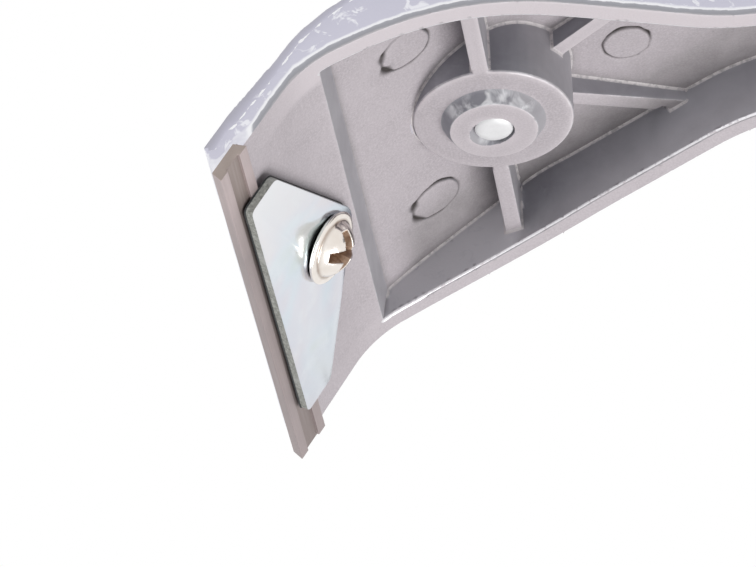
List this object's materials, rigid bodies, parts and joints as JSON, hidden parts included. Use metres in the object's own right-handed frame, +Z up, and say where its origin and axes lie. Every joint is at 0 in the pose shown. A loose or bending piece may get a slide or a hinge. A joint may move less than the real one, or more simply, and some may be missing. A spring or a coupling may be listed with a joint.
{
  "type": "double-edged scraper",
  "caption": "Hand scraper with a hollow cast head, a reversible grooved blade under a screwed clamp plate, a ball knob above the blade and an arched soft grip.",
  "frame": {"origin": "on the floor, in the middle of the length, under the middle line", "axes": "+X from the blade to the tail of the grip, +Y across, +Z up along the knob axis"},
  "size_m": [0.2198, 0.064, 0.0786],
  "materials": {
    "cast_alloy": "blasted die casting",
    "blade_steel": "ground",
    "zinc_plate": "bright zinc plated",
    "nickel_screw": "nickel plated",
    "stud_steel": "bright",
    "knob_plastic": "satin",
    "grip_rubber": "matt"
  },
  "bodies": {
    "handle": {"body_casting": "cast_alloy", "knob": "knob_plastic", "knob_stud": "stud_steel", "knob_washer": "zinc_plate", "grip_sleeve": "grip_rubber"},
    "blade": {"blade": "blade_steel"},
    "clamp": {"clamp_plate": "zinc_plate"},
    "screw": {"clamp_screw": "nickel_screw"}
  },
  "joints": [
    {"name": "blade_slide", "type": "slide", "parent": "handle", "child": "blade", "axis": [0, 1, 0], "range_m": [-0.066, 0.066]},
    {"name": "clamp_lift", "type": "slide", "parent": "handle", "child": "clamp", "axis": [0.8446, 0, -0.5354], "range_m": [0, 0.0024]},
    {"name": "screw_turn", "type": "hinge", "parent": "clamp", "child": "screw", "pos_m": [-0.09907, 0, 0.01123], "axis": [0.8446, 0, -0.5354], "range_deg": [0, 1080]}
  ],
  "couplings": [
    {"joint": "screw_turn", "follows": "clamp_lift", "rad_per_m": 7854}
  ]
}
